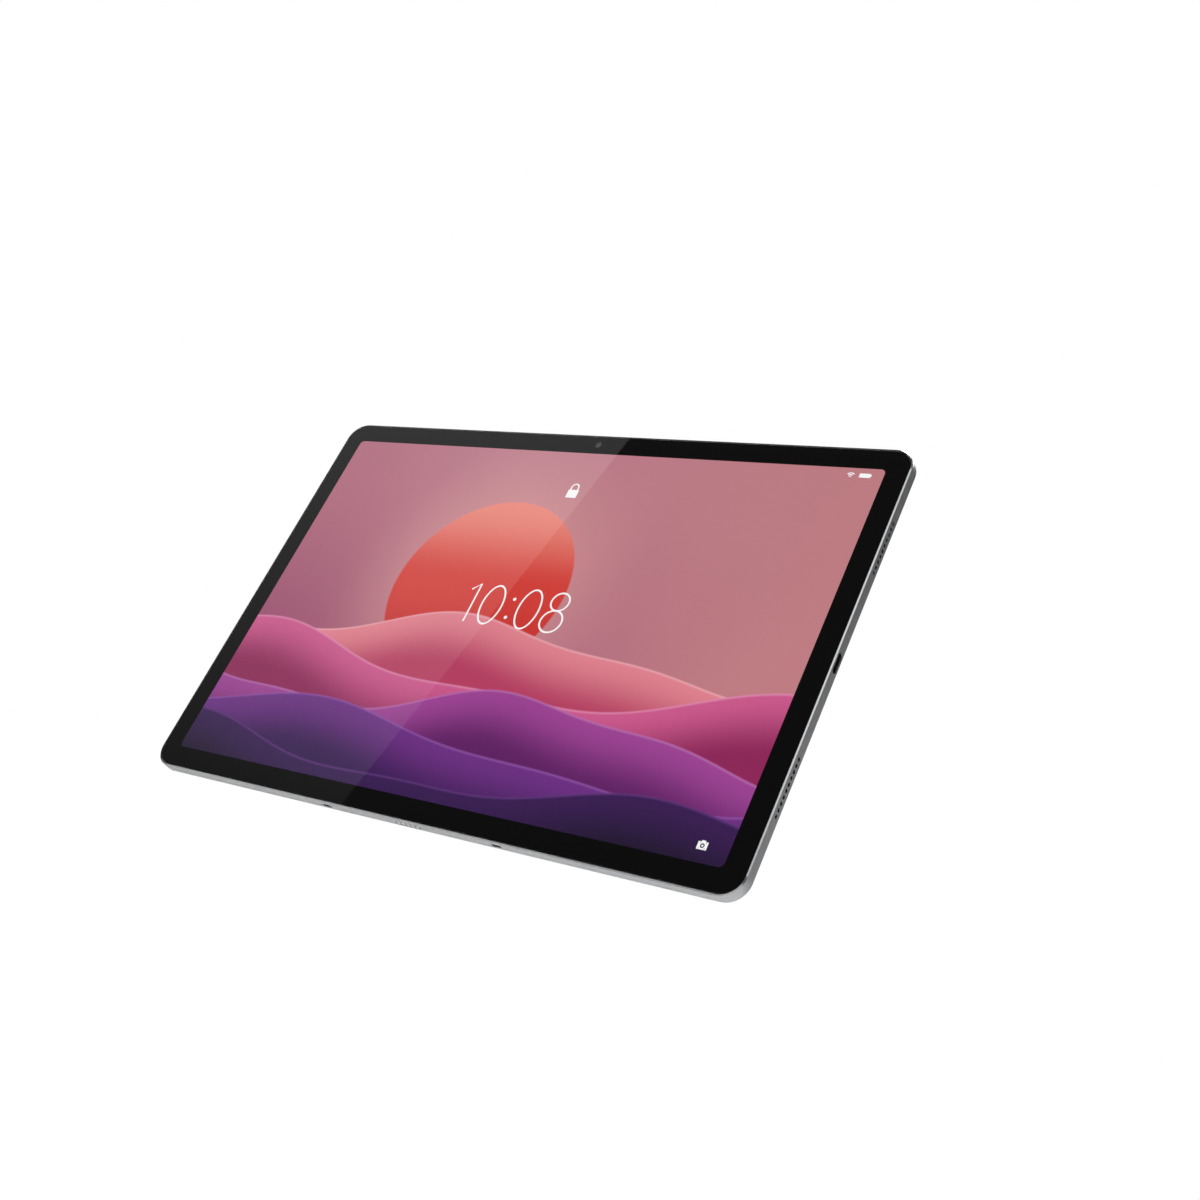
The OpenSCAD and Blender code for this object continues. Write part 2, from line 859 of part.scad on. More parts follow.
module dock_connector() {
    color([0.5, 0.51, 0.53]) in_frame()
        difference() {
            union() {
                along_y(0, -half_h + flush, -half_h + wall + 0.1, mid_depth)
                    stadium(dock_len - 0.1, dock_h - 0.1);
                block([-dock_len / 2 - 1, -half_h + wall + 0.05], [dock_len / 2 + 1, -half_h + 5.2], 1.6, 4.5);
            }
            for (x = along_row(contact_count, contact_pitch))
                translate([x, -half_h - 1, -mid_depth])
                    rotate([-90, 0, 0])
                        cylinder(h = 4, d = contact_d + 0.04, $fn = 32);
        }
}

module dock_contacts() {
    color([0.85, 0.84, 0.8]) in_frame()
        for (x = along_row(contact_count, contact_pitch))
            translate([x, contact_y, -mid_depth])
                rotate([-90, 0, 0])
                    cylinder(h = 3, d = contact_d, $fn = 32);
}

module slot_liners() {
    color([0.02, 0.02, 0.02]) in_frame()
        for (x = [-1, 1] * dock_slot_pitch / 2)
            difference() {
                along_y(x, -half_h + 0.35, -half_h + wall + 0.6, mid_depth)
                    stadium(dock_slot_len - 0.04, dock_slot_h - 0.04);
                along_y(x, -half_h - 1, -half_h + wall, mid_depth)
                    stadium(dock_slot_len - 0.6, dock_slot_h - 0.6);
            }
}

module keyboard_magnets() {
    color([0.75, 0.76, 0.78]) in_frame()
        for (x = [-105, -70, 70, 105])
            block([x - 12, -half_h + wall + 0.1], [x + 12, -half_h + wall + 3.6], cell_front, cell_back);
}

cover_glass();
bezel_mask();
display_gasket();
lcd_panel();
optical_films();
light_guide();
led_strip();
reflector_sheet();
backlight_tray();
side_frame();
mid_plate();
rear_cover();
antenna_panel();
cover_adhesive();
badge_plate();
battery_left();
battery_right();
battery_adhesive();
battery_board();
main_board();
processor();
memory_chip();
power_chip();
shield_large();
shield_small();
heat_spreader();
usb_board();
usb_shell();
usb_tongue();
main_flex();
display_flex();
driver_board();
panel_flexes();
wifi_antennas();
speaker_upper_left();
speaker_lower_left();
speaker_upper_right();
speaker_lower_right();
speaker_meshes();
microphones();
camera_plate();
lens_bezel();
lens_cover();
rear_camera();
flash_ring();
flash_lens();
flash_led();
front_camera();
power_key();
fingerprint_sensor();
volume_key();
key_switches();
card_tray();
card_reader();
dock_connector();
dock_contacts();
slot_liners();
keyboard_magnets();
board_screws();
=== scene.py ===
"""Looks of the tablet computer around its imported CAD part: materials, display, fine parts, studio, camera.

Everything is in metres in the part's frame: X to the right of the screen, Z up, the screen faces -Y.
"""

import math

import bmesh
import bpy
from mathutils import Matrix, Vector


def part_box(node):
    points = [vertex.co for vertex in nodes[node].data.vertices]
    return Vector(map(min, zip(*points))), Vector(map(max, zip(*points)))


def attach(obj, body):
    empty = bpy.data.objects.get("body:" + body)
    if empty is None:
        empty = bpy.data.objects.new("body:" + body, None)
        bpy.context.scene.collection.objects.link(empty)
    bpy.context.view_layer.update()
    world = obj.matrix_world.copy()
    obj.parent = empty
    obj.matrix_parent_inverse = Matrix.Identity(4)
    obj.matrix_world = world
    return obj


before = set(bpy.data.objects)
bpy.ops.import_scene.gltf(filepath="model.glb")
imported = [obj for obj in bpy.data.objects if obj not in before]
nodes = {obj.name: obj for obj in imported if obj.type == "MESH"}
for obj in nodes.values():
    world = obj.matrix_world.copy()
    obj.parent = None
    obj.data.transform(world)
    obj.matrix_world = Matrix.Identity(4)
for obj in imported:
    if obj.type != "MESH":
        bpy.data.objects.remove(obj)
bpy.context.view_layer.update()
MM = 0.001


def low_high(node):
    """Lowest and highest corner of a CAD node, as vectors."""
    low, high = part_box(node)
    return Vector(low), Vector(high)


def middle(node):
    """Centre of a CAD node's box."""
    low, high = low_high(node)
    return (low + high) / 2


glass_low, _ = low_high("cover_glass")
lcd_low, _ = low_high("lcd_panel")
frame_low, frame_high = low_high("side_frame")
SCREEN = Vector((middle("cover_glass").x, glass_low.y, middle("cover_glass").z))


# ---- node helpers ----


class Shader:
    """A material's node tree, with short calls for the nodes that this file uses."""

    def __init__(self, name):
        self.material = bpy.data.materials.new(name)
        self.material.use_nodes = True
        self.tree = self.material.node_tree
        self.tree.nodes.clear()
        self.surface = self.add("ShaderNodeBsdfPrincipled")
        self.output = self.add("ShaderNodeOutputMaterial")
        self.link(self.surface.outputs[0], self.output.inputs["Surface"])
        self.place = self.add("ShaderNodeTexCoord").outputs["Object"]

    @classmethod
    def reopen(cls, material):
        """Takes up a material that is already made, to add to it."""
        s = cls.__new__(cls)
        s.material = material
        s.tree = material.node_tree
        s.surface = s.tree.nodes["Principled BSDF"]
        s.place = s.add("ShaderNodeTexCoord").outputs["Object"]
        return s

    def blend_input(self, name, amount, value):
        """Blends a linked input of the surface shader towards a constant."""
        socket = self.surface.inputs[name]
        source = socket.links[0].from_socket
        colour = socket.type == "RGBA"
        made = self.add("ShaderNodeMix", data_type="RGBA" if colour else "FLOAT")
        ends = [x for x in made.inputs if x.enabled and x.name in ("A", "B")]
        self.link(amount, made.inputs["Factor"])
        self.link(source, ends[0])
        ends[1].default_value = value
        self.link([x for x in made.outputs if x.enabled][0], socket)

    def add(self, kind, **settings):
        """Adds a node and sets its properties."""
        made = self.tree.nodes.new(kind)
        for key, value in settings.items():
            setattr(made, key, value)
        return made

    def link(self, source, target):
        """Links an output to an input."""
        self.tree.links.new(source, target)

    def give(self, socket, value):
        """Links a socket to a field, or sets it to a constant."""
        if isinstance(value, bpy.types.NodeSocket):
            self.link(value, socket)
        elif isinstance(value, tuple) and len(value) == 3 and socket.type == "RGBA":
            socket.default_value = (*value, 1)
        else:
            socket.default_value = value

    def set(self, **inputs):
        """Sets inputs of the surface shader; an underscore in a name stands for a space."""
        for key, value in inputs.items():
            self.give(self.surface.inputs[key.replace("_", " ")], value)

    def math(self, operation, a, b=0.0, c=0.0):
        """One step of arithmetic on fields or numbers."""
        made = self.add("ShaderNodeMath", operation=operation)
        for socket, value in zip(made.inputs, (a, b, c)):
            self.give(socket, value)
        return made.outputs[0]

    def span(self, value, low, high, to_low=0.0, to_high=1.0, smooth=True):
        """Maps low..high to to_low..to_high, clamped."""
        made = self.add("ShaderNodeMapRange", interpolation_type="SMOOTHSTEP" if smooth else "LINEAR")
        for key, field in (("Value", value), ("From Min", low), ("From Max", high),
                           ("To Min", to_low), ("To Max", to_high)):
            self.give(made.inputs[key], field)
        return made.outputs["Result"]

    def mix(self, amount, a, b):
        """Mixes two colours."""
        made = self.add("ShaderNodeMix", data_type="RGBA")
        self.give(made.inputs["Factor"], amount)
        self.give(made.inputs["A"], a)
        self.give(made.inputs["B"], b)
        return made.outputs["Result"]

    def ramp(self, value, stops):
        """Colours along a field: stops are (position, colour)."""
        made = self.add("ShaderNodeValToRGB")
        band = made.color_ramp
        band.interpolation = "EASE"
        while len(band.elements) < len(stops):
            band.elements.new(0.5)
        for element, (position, colour) in zip(band.elements, stops):
            element.position = position
            element.color = (*colour, 1)
        self.give(made.inputs[0], value)
        return made.outputs[0]

    def noise(self, scale, detail=2.0, stretch=None):
        """Noise over the object's own coordinates; stretch squeezes it along the axes."""
        made = self.add("ShaderNodeTexNoise")
        made.inputs["Scale"].default_value = scale
        made.inputs["Detail"].default_value = detail
        if stretch:
            mapping = self.add("ShaderNodeMapping")
            mapping.inputs["Scale"].default_value = stretch
            self.link(self.place, mapping.inputs["Vector"])
            self.link(mapping.outputs[0], made.inputs["Vector"])
        else:
            self.link(self.place, made.inputs["Vector"])
        return made.outputs[0]

    def bump(self, height, strength, distance):
        """Bumps the surface by a height field."""
        made = self.add("ShaderNodeBump")
        made.inputs["Strength"].default_value = strength
        made.inputs["Distance"].default_value = distance
        self.link(height, made.inputs["Height"])
        self.link(made.outputs[0], self.surface.inputs["Normal"])

    def axes(self):
        """X, Y and Z of the object's own coordinates."""
        made = self.add("ShaderNodeSeparateXYZ")
        self.link(self.place, made.inputs[0])
        return made.outputs


def srgb(text):
    """A colour from a hex string, in linear light."""
    values = [int(text[i:i + 2], 16) / 255 for i in (0, 2, 4)]
    return tuple(v / 12.92 if v <= 0.04045 else ((v + 0.055) / 1.055) ** 2.4 for v in values)


def grey(value):
    """A neutral colour."""
    return (value, value, value)


def dimmed(colour, part):
    """A colour made darker or brighter, held at white."""
    return tuple(min(1, c * part) for c in colour)


# ---- materials ----


def blasted_metal(name, colour, roughness, edge_colour, edge_roughness, front_edge, back_edge):
    """Fine blasted aluminium with a slight crown; its front and back edges are cut bright."""
    crown_radius = 17 * MM
    grain_height = 0.0024 * MM
    edge_blur = 0.03 * MM
    s = Shader(name)
    grain = s.noise(9000, 2)
    cloud = s.noise(60, 3)
    y = s.axes()[1]
    cut_front = s.span(y, front_edge + edge_blur, front_edge - edge_blur)
    cut_back = s.span(y, back_edge - edge_blur, back_edge + edge_blur)
    cut = s.math("MAXIMUM", cut_front, cut_back)
    body = s.mix(s.span(grain, 0.3, 0.7), dimmed(colour, 0.9), dimmed(colour, 1.08))
    body = s.mix(s.span(cloud, 0.3, 0.7, 0.0, 0.12), body, dimmed(colour, 0.8))
    s.set(Base_Color=s.mix(cut, body, edge_colour), Metallic=1.0)
    rough = s.span(grain, 0.3, 0.7, roughness - 0.05, roughness + 0.06)
    s.set(Roughness=s.math("MULTIPLY_ADD", cut, edge_roughness - roughness, rough))
    crown = s.math("MULTIPLY", s.math("MULTIPLY", y, y), -0.5 / crown_radius)
    height = s.math("MULTIPLY_ADD", grain, grain_height, crown)
    s.bump(height, 1.0, 1.0)
    return s.material


def anodised(name, colour, roughness, metallic=1.0, grain_scale=7000, bump=0.12):
    """Blasted and anodised or painted face with a fine grain and a slow change of tone."""
    s = Shader(name)
    grain = s.noise(grain_scale, 2)
    cloud = s.noise(25, 3)
    body = s.mix(s.span(grain, 0.3, 0.7), dimmed(colour, 0.9), dimmed(colour, 1.1))
    body = s.mix(s.span(cloud, 0.35, 0.65, 0.0, 0.1), body, dimmed(colour, 1.25))
    s.set(Base_Color=body, Metallic=metallic)
    s.set(Roughness=s.span(grain, 0.3, 0.7, roughness - 0.04, roughness + 0.05))
    s.bump(grain, bump, 0.02 * MM)
    return s.material


def brushed(name, colour, roughness, stretch, metallic=1.0):
    """Brushed metal: its streaks run across the axes that stretch makes large."""
    s = Shader(name)
    streak = s.noise(900, 3, stretch)
    fine = s.noise(4000, 2, stretch)
    both = s.math("MULTIPLY_ADD", fine, 0.5, s.math("MULTIPLY", streak, 0.5))
    tone = s.mix(s.span(both, 0.35, 0.65), dimmed(colour, 0.82), dimmed(colour, 1.15))
    s.set(Base_Color=tone, Metallic=metallic)
    s.set(Roughness=s.span(both, 0.35, 0.65, roughness - 0.06, roughness + 0.08))
    s.bump(both, 0.1, 0.02 * MM)
    return s.material


def bevelled_plate():
    """The camera plate: brushed along its length, with a polished bevel round its rim."""
    material = brushed("camera_plate_metal", (0.5, 0.505, 0.515), 0.27, (1, 1, 18))
    s = Shader.reopen(material)
    top = low_high("camera_plate")[1].y
    bevel = s.span(s.axes()[1], top - 0.02 * MM, top - 0.05 * MM)
    s.blend_input("Base Color", bevel, (0.9, 0.9, 0.91, 1))
    s.blend_input("Roughness", bevel, 0.12)
    return material


def moulded(name, colour, roughness, scale=2500, metallic=0.0, bump=0.15):
    """Moulded or coated plastic with a fine spark-eroded texture."""
    s = Shader(name)
    grain = s.noise(scale, 3)
    tone = s.mix(s.span(grain, 0.3, 0.7), dimmed(colour, 0.85), dimmed(colour, 1.12))
    s.set(Base_Color=tone, Metallic=metallic)
    s.set(Roughness=s.span(grain, 0.3, 0.7, max(0, roughness - 0.06), roughness + 0.08))
    s.bump(grain, bump, 0.03 * MM)
    return s.material


def by_radius(name, centre, reach, stops, roughness, metallic=0.0):
    """A surface coloured by the distance from an axis along Y: the rings of turned parts, and on lenses a
    painted glint of their coating.
    """
    s = Shader(name)
    x, _, z = s.axes()
    dx = s.math("SUBTRACT", x, centre.x)
    dz = s.math("SUBTRACT", z, centre.z)
    far = s.math("SQRT", s.math("MULTIPLY_ADD", dx, dx, s.math("MULTIPLY", dz, dz)))
    grain = s.span(s.noise(3000), 0.3, 0.7, -0.01, 0.01)
    tone = s.ramp(s.math("MULTIPLY_ADD", far, 1 / reach, grain), stops)
    s.set(Base_Color=tone, Roughness=roughness, Metallic=metallic)
    return s.material


def clear_glass(name, tint=(1, 1, 1)):
    """Clear or tinted glass with a hardly visible change of tone."""
    s = Shader(name)
    smudge = s.span(s.noise(22, 4), 0.4, 0.7)
    s.set(Base_Color=s.mix(smudge, tint, dimmed(tint, 0.985)))
    s.set(Transmission_Weight=1.0, IOR=1.5, Roughness=0.0)
    return s.material


def black_ink():
    """The printed border: deep black with a very faint grain."""
    s = Shader("printed_ink")
    grain = s.noise(5000, 2)
    s.set(Base_Color=s.mix(s.span(grain, 0.3, 0.7), grey(0.002), grey(0.0045)), Roughness=0.5)
    s.set(Specular_IOR_Level=0.0)
    return s.material


def circuit_board():
    """Green solder mask with a fine pattern of tracks."""
    half_waves_per_metre = 900.0
    s = Shader("circuit_board")
    x, _, z = s.axes()
    tracks = s.math("PINGPONG", s.math("MULTIPLY", s.math("ADD", x, z), half_waves_per_metre), 1.0)
    mask_green, track_green = (0.006, 0.07, 0.035), (0.02, 0.16, 0.08)
    s.set(Base_Color=s.mix(s.span(tracks, 0.35, 0.5, 0, 0.5), mask_green, track_green))
    s.set(Roughness=s.span(s.noise(800), 0.3, 0.7, 0.3, 0.45))
    return s.material


def woven_mesh():
    """Fine woven wire behind the speaker holes."""
    half_waves_per_metre = 9000.0
    s = Shader("woven_mesh")
    _, y, z = s.axes()
    across = s.math("PINGPONG", s.math("MULTIPLY", y, half_waves_per_metre), 1.0)
    along = s.math("PINGPONG", s.math("MULTIPLY", z, half_waves_per_metre), 1.0)
    wire = s.math("MAXIMUM", across, along)
    s.set(Base_Color=s.mix(s.span(wire, 0.55, 0.8), grey(0.002), grey(0.03)), Metallic=0.6, Roughness=0.45)
    s.bump(wire, 0.5, 0.05 * MM)
    return s.material


# ---- the lit picture ----


class Picture(Shader):
    """A plain abstract picture, built up from the back layer to the front one, in millimetres."""

    def __init__(self, name):
        super().__init__(name)
        x, _, z = self.axes()
        self.x = self.math("MULTIPLY_ADD", x, 1000.0, -SCREEN.x * 1000)
        self.y = self.math("MULTIPLY_ADD", z, 1000.0, -SCREEN.z * 1000)
        self.colour = None

    def below_wave(self, level, swell, length, shift):
        """Distance below a wave that runs across the picture, with a shorter swell riding on it."""
        turn = math.tau / length
        long_wave = self.math("SINE", self.math("MULTIPLY_ADD", self.x, turn, shift))
        short_wave = self.math("SINE", self.math("MULTIPLY_ADD", self.x, turn * 2.3, shift * 1.7))
        ripple = self.math("MULTIPLY_ADD", short_wave, swell * 0.3, float(level))
        return self.math("SUBTRACT", self.math("MULTIPLY_ADD", long_wave, float(swell), ripple), self.y)

    def inside_circle(self, centre, radius):
        """Distance inside a circle."""
        dx = self.math("SUBTRACT", self.x, float(centre[0]))
        dy = self.math("SUBTRACT", self.y, float(centre[1]))
        square = self.math("MULTIPLY_ADD", dx, dx, self.math("MULTIPLY", dy, dy))
        return self.math("SUBTRACT", float(radius), self.math("SQRT", square))

    def lay(self, tone, depth, soft=0.5, cover=1.0, rim=None, rim_width=1.4):
        """Lays a layer over what is there: tone is its colour, depth its distance in from its edge."""
        mask = self.span(depth, -soft, soft)
        if rim:
            edge = self.math("MULTIPLY", self.span(depth, rim_width, 0.0), 0.6)
            tone = self.mix(edge, tone, srgb(rim))
        self.colour = self.mix(self.math("MULTIPLY", mask, cover), self.colour, tone)

    def shade(self, field, stops):
        """A colour ramp along a field; stops are (place, hex colour)."""
        low, high = stops[0][0], stops[-1][0]
        part = self.span(field, float(low), float(high), smooth=False)
        return self.ramp(part, [((place - low) / (high - low), srgb(text)) for place, text in stops])


def dusk_sky(p):
    """Dusk behind the hills: mauve at the left, dusty rose at the right, deeper towards the foot."""
    top = p.shade(p.x, [(-137, "ad6478"), (-20, "ba7987"), (137, "bb7a80")])
    foot = p.shade(p.x, [(-137, "8f3c66"), (0, "a85f78"), (137, "c07c82")])
    p.colour = p.mix(p.span(p.y, -70.0, 70.0), foot, top)


def low_sun(p):
    """A plain red sun low in the sky, with a glow around it."""
    centre, radius, glow_reach = (-24, 12), 45, 40.0
    sun = p.inside_circle(centre, radius)
    p.lay(srgb("efb3a2"), sun, glow_reach, 0.42)
    p.lay(p.shade(p.y, [(-30, "b8201f"), (14, "cf3a33"), (57, "e8877a")]), sun)


def rolling_hills(p):
    """Rows of plain hills, from coral at the back to near black at the front."""
    fade_depth = 26
    rows = (
        # level, swell, length, shift, colour at the crest, lower down, and along the rim
        (-12, 9, 250, 1.9, "dc7f8c", "b23a5e", "efb6bd"),
        (-28, 10, 290, 4.4, "c8568a", "8a1f55", "e49abd"),
        (-44, 9, 230, 0.7, "9a3f90", "5c1760", "c07ab8"),
        (-60, 8, 310, 3.0, "6a2a80", "33104e", "9a5cae"),
        (-74, 7, 260, 5.2, "35144f", "140722", "6a3a86"),
    )
    for level, swell, length, shift, crest, lower, rim in rows:
        depth = p.below_wave(level, swell, length, shift)
        p.lay(p.shade(depth, [(0, crest), (fade_depth, lower)]), depth, rim=rim)


def lit_picture():
    """The picture on the panel, a plain sun over hills, with a very faint grain."""
    p = Picture("lit_display")
    dusk_sky(p)
    low_sun(p)
    rolling_hills(p)
    grain = p.noise(2600, 0)
    lit = p.mix(p.span(grain, 0.3, 0.7, 0.0, 0.02), p.colour, (0, 0, 0))
    p.set(Base_Color=(0.004, 0.004, 0.005), Roughness=0.25, Specular_IOR_Level=0.0)
    p.set(Emission_Color=lit, Emission_Strength=1.1)
    return p.material


# ---- use of the materials ----


def dress(material, *names):
    """Gives a material to every slot of each CAD node."""
    for name in names:
        for holder in nodes[name].material_slots:
            holder.material = material


FLAT_FRONT = frame_low.y + 0.45 * MM
FLAT_BACK = frame_high.y - 0.8 * MM
FRAME_GREY = (0.52, 0.53, 0.545)
CUT_GREY = (0.56, 0.57, 0.58)
frame_metal = blasted_metal("frame_aluminium", FRAME_GREY, 0.32, CUT_GREY, 0.22, FLAT_FRONT, FLAT_BACK)
steel = brushed("tinned_steel", (0.5, 0.5, 0.49), 0.32, (1, 1, 12))
black_plastic = moulded("black_plastic", grey(0.012), 0.5)

dress(clear_glass("cover_glass"), "cover_glass")
dress(black_ink(), "bezel_mask")
dress(moulded("foam_tape", grey(0.01), 0.8), "display_gasket", "cover_adhesive")
dress(lit_picture(), "lcd_panel")
dress(moulded("diffusing_film", grey(0.8), 0.6), "optical_films", "reflector_sheet", "battery_adhesive")
dress(clear_glass("clear_acrylic"), "light_guide")
dress(moulded("led_phosphor", (0.8, 0.66, 0.2), 0.4), "led_strip", "flash_led")
dress(steel, "backlight_tray", "shield_large", "shield_small", "card_reader", "key_switches", "board_screws")
dress(frame_metal, "side_frame", "power_key", "volume_key", "card_tray")
dress(anodised("pressed_aluminium", grey(0.4), 0.4), "mid_plate")
dress(anodised("cover_aluminium", (0.205, 0.21, 0.215), 0.42), "rear_cover")
dress(anodised("antenna_paint", (0.165, 0.168, 0.172), 0.36, metallic=0.85), "antenna_panel")
dress(brushed("badge_metal", (0.68, 0.68, 0.69), 0.26, (12, 1, 1)), "badge_plate")
dress(moulded("battery_foil", grey(0.03), 0.35, metallic=0.5), "battery_left", "battery_right")
dress(circuit_board(), "battery_board", "main_board", "usb_board", "driver_board")
dress(moulded("chip_resin", grey(0.02), 0.5), "processor", "memory_chip", "power_chip")
dress(moulded("graphite_sheet", grey(0.05), 0.55, metallic=0.4), "heat_spreader")
dress(brushed("port_steel", (0.36, 0.36, 0.37), 0.3, (12, 1, 1)), "usb_shell")
dress(black_plastic, "usb_tongue", "slot_liners")
dress(moulded("amber_film", (0.5, 0.2, 0.04), 0.35), "main_flex", "display_flex", "panel_flexes")
dress(brushed("antenna_foil", (0.7, 0.5, 0.2), 0.3, (1, 1, 8)), "wifi_antennas")
dress(black_plastic, "speaker_upper_left", "speaker_lower_left", "speaker_upper_right", "speaker_lower_right")
dress(woven_mesh(), "speaker_meshes")
dress(brushed("gilt_can", (0.75, 0.6, 0.3), 0.3, (1, 1, 8)), "microphones")
dress(bevelled_plate(), "camera_plate")
dress(brushed("lens_bezel_metal", grey(0.3), 0.28, (1, 1, 1)), "lens_bezel")
dress(clear_glass("lens_glass", (0.55, 0.56, 0.6)), "lens_cover")
dress(moulded("camera_black", grey(0.004), 0.5), "rear_camera")
# The dark blue ring in these stops is a painted glint on the front camera's lens.
front_glint_stops = [
    (0.0, grey(0.002)),
    (0.3, (0.01, 0.012, 0.03)),
    (0.45, grey(0.003)),
    (0.8, grey(0.02)),
    (1.0, grey(0.05)),
]
dress(by_radius("front_lens", middle("front_camera"), 1.5 * MM, front_glint_stops, 0.15), "front_camera")
dress(moulded("light_ring", grey(0.96), 0.22, bump=0.05), "flash_ring")
dress(moulded("flash_lens", (0.97, 0.96, 0.93), 0.2, bump=0.03), "flash_lens")
dress(moulded("sensor_coating", (0.16, 0.165, 0.17), 0.25, 7000, 0.6, 0.02), "fingerprint_sensor")
dress(moulded("dock_plastic", (0.3, 0.305, 0.31), 0.45, metallic=0.4), "dock_connector")
dress(brushed("contact_metal", (0.85, 0.83, 0.78), 0.2, (1, 6, 1)), "dock_contacts")
dress(anodised("nickel_plate", grey(0.7), 0.2), "keyboard_magnets")


# ---- fine parts ----


def keep(mesh, name, material):
    """Makes an object of a bmesh, shades it smooth up to its sharp edges, and hands it to the frame."""
    sharp = math.radians(35)
    bmesh.ops.recalc_face_normals(mesh, faces=mesh.faces)
    data = bpy.data.meshes.new(name)
    mesh.to_mesh(data)
    mesh.free()
    data.shade_smooth()
    data.set_sharp_from_angle(angle=sharp)
    data.materials.append(material)
    made = bpy.data.objects.new(name, data)
    bpy.context.collection.objects.link(made)
    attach(made, "body")
    return made


def turned(name, centre, profile, material, steps=96):
    """A turned part about an axis along Y; the profile is a run of (radius, y) points."""
    mesh = bmesh.new()
    rings = []
    for radius, y in profile:
        ring = []
        for i in range(steps if radius > 0 else 1):
            angle = math.tau * i / steps
            x = centre.x + radius * math.cos(angle)
            z = centre.z + radius * math.sin(angle)
            ring.append(mesh.verts.new((x, y, z)))
        rings.append(ring)
    for a, b in zip(rings, rings[1:]):
        for i in range(steps):
            j = (i + 1) % steps
            corners = (a[i % len(a)], a[j % len(a)], b[j % len(b)], b[i % len(b)])
            mesh.faces.new(list(dict.fromkeys(corners)))
    return keep(mesh, name, material)


def lens_barrel():
    """Stepped rings round the mouth of the rear camera, under its cover glass."""
    centre = middle("rear_camera")
    face = low_high("rear_camera")[1].y
    outer = 4.2 * MM
    # (radius, height) in millimetres, from the mouth outwards
    inner_ring = ((2.62, 0.005), (2.62, 0.06), (2.95, 0.06), (3.0, 0.02))
    middle_ring = ((3.4, 0.02), (3.44, 0.07), (3.6, 0.07), (3.64, 0.02))
    outer_ring = ((4.0, 0.02), (4.05, 0.05), (4.15, 0.05), (4.15, 0.005))
    steps = inner_ring + middle_ring + outer_ring
    profile = [(radius * MM, face + height * MM) for radius, height in steps]
    stops = [
        (0.0, grey(0.004)),
        (0.76, grey(0.006)),
        (0.82, grey(0.12)),
        (0.86, grey(0.008)),
        (1.0, grey(0.012)),
    ]
    material = by_radius("lens_barrel", centre, outer, stops, 0.3, 0.6)
    turned("lens_barrel", centre, profile, material)


def lens_element():
    """The coated front element, a shallow dome in the mouth of the rear camera, with its coating's glint
    painted on as purple and blue rings.
    """
    centre = middle("rear_camera")
    bore_depth, radius, height, count = 0.4 * MM, 2.55 * MM, 0.36 * MM, 12
    foot = low_high("rear_camera")[1].y - bore_depth + 0.01 * MM
    sphere = (radius ** 2 + height ** 2) / (2 * height)
    profile = []
    for i in range(count + 1):
        out = radius * i / count
        profile.append((out, foot + height - sphere + math.sqrt(sphere ** 2 - out ** 2)))
    profile.append((0, foot))
    # The purple and blue rings in these stops are a painted glint of the coating; the rest is the element's
    # dark glass.
    stops = [
        (0.0, grey(0.002)),
        (0.3, (0.004, 0.004, 0.012)),
        (0.5, (0.03, 0.012, 0.07)),
        (0.62, (0.01, 0.03, 0.06)),
        (0.8, grey(0.002)),
        (1.0, grey(0.006)),
    ]
    material = by_radius("lens_with_painted_glint", centre, radius, stops, 0.04)
    turned("lens_element", centre, profile, material)


def flash_ridges():
    """The ring-shaped ridges of the flash lens."""
    centre = middle("flash_lens")
    face = low_high("flash_lens")[1].y
    pitch, ridge, count = 0.3 * MM, 0.038 * MM, 7
    profile = [(0, face + ridge)]
    for i in range(count):
        profile.append(((i + 0.55) * pitch, face + 0.002 * MM))
        profile.append(((i + 0.95) * pitch, face + ridge))
    profile.append((count * pitch, face - 0.01 * MM))
    material = moulded("ridged_lens", (0.97, 0.96, 0.93), 0.16, bump=0.03)
    turned("flash_ridges", centre, profile, material)


def usb_contacts():
    """Twelve gilt contacts with chamfered noses on each face of the USB-C tongue."""
    _, high = low_high("usb_tongue")
    centre = middle("usb_tongue")
    count, pitch, width, length = 12, 0.5 * MM, 0.27 * MM, 3.8 * MM
    thick, half_tongue, chamfer = 0.02 * MM, 0.35 * MM, 0.15 * MM
    nose = high.x - 0.35 * MM
    root, shoulder = nose - length, nose - chamfer
    # (x, part of the half width)
    outline = ((root, -1), (shoulder, -1), (nose, -0.4), (nose, 0.4), (shoulder, 1), (root, 1))
    corners = len(outline)
    mesh = bmesh.new()
    for side in (-1, 1):
        face = centre.y + side * half_tongue
        for i in range(count):
            z = centre.z + (i - (count - 1) / 2) * pitch
            under = [mesh.verts.new((x, face, z + part * width / 2)) for x, part in outline]
            over = [mesh.verts.new((x, face + side * thick, z + part * width / 2)) for x, part in outline]
            mesh.faces.new(under)
            mesh.faces.new(over)
            for j in range(corners):
                k = (j + 1) % corners
                mesh.faces.new((under[j], under[k], over[k], over[j]))
    keep(mesh, "usb_contacts", brushed("gilt_contacts", (0.85, 0.62, 0.25), 0.25, (1, 8, 8)))


lens_barrel()
lens_element()
flash_ridges()
usb_contacts()


# ---- signs on the lit screen: clock digits and small symbols ----


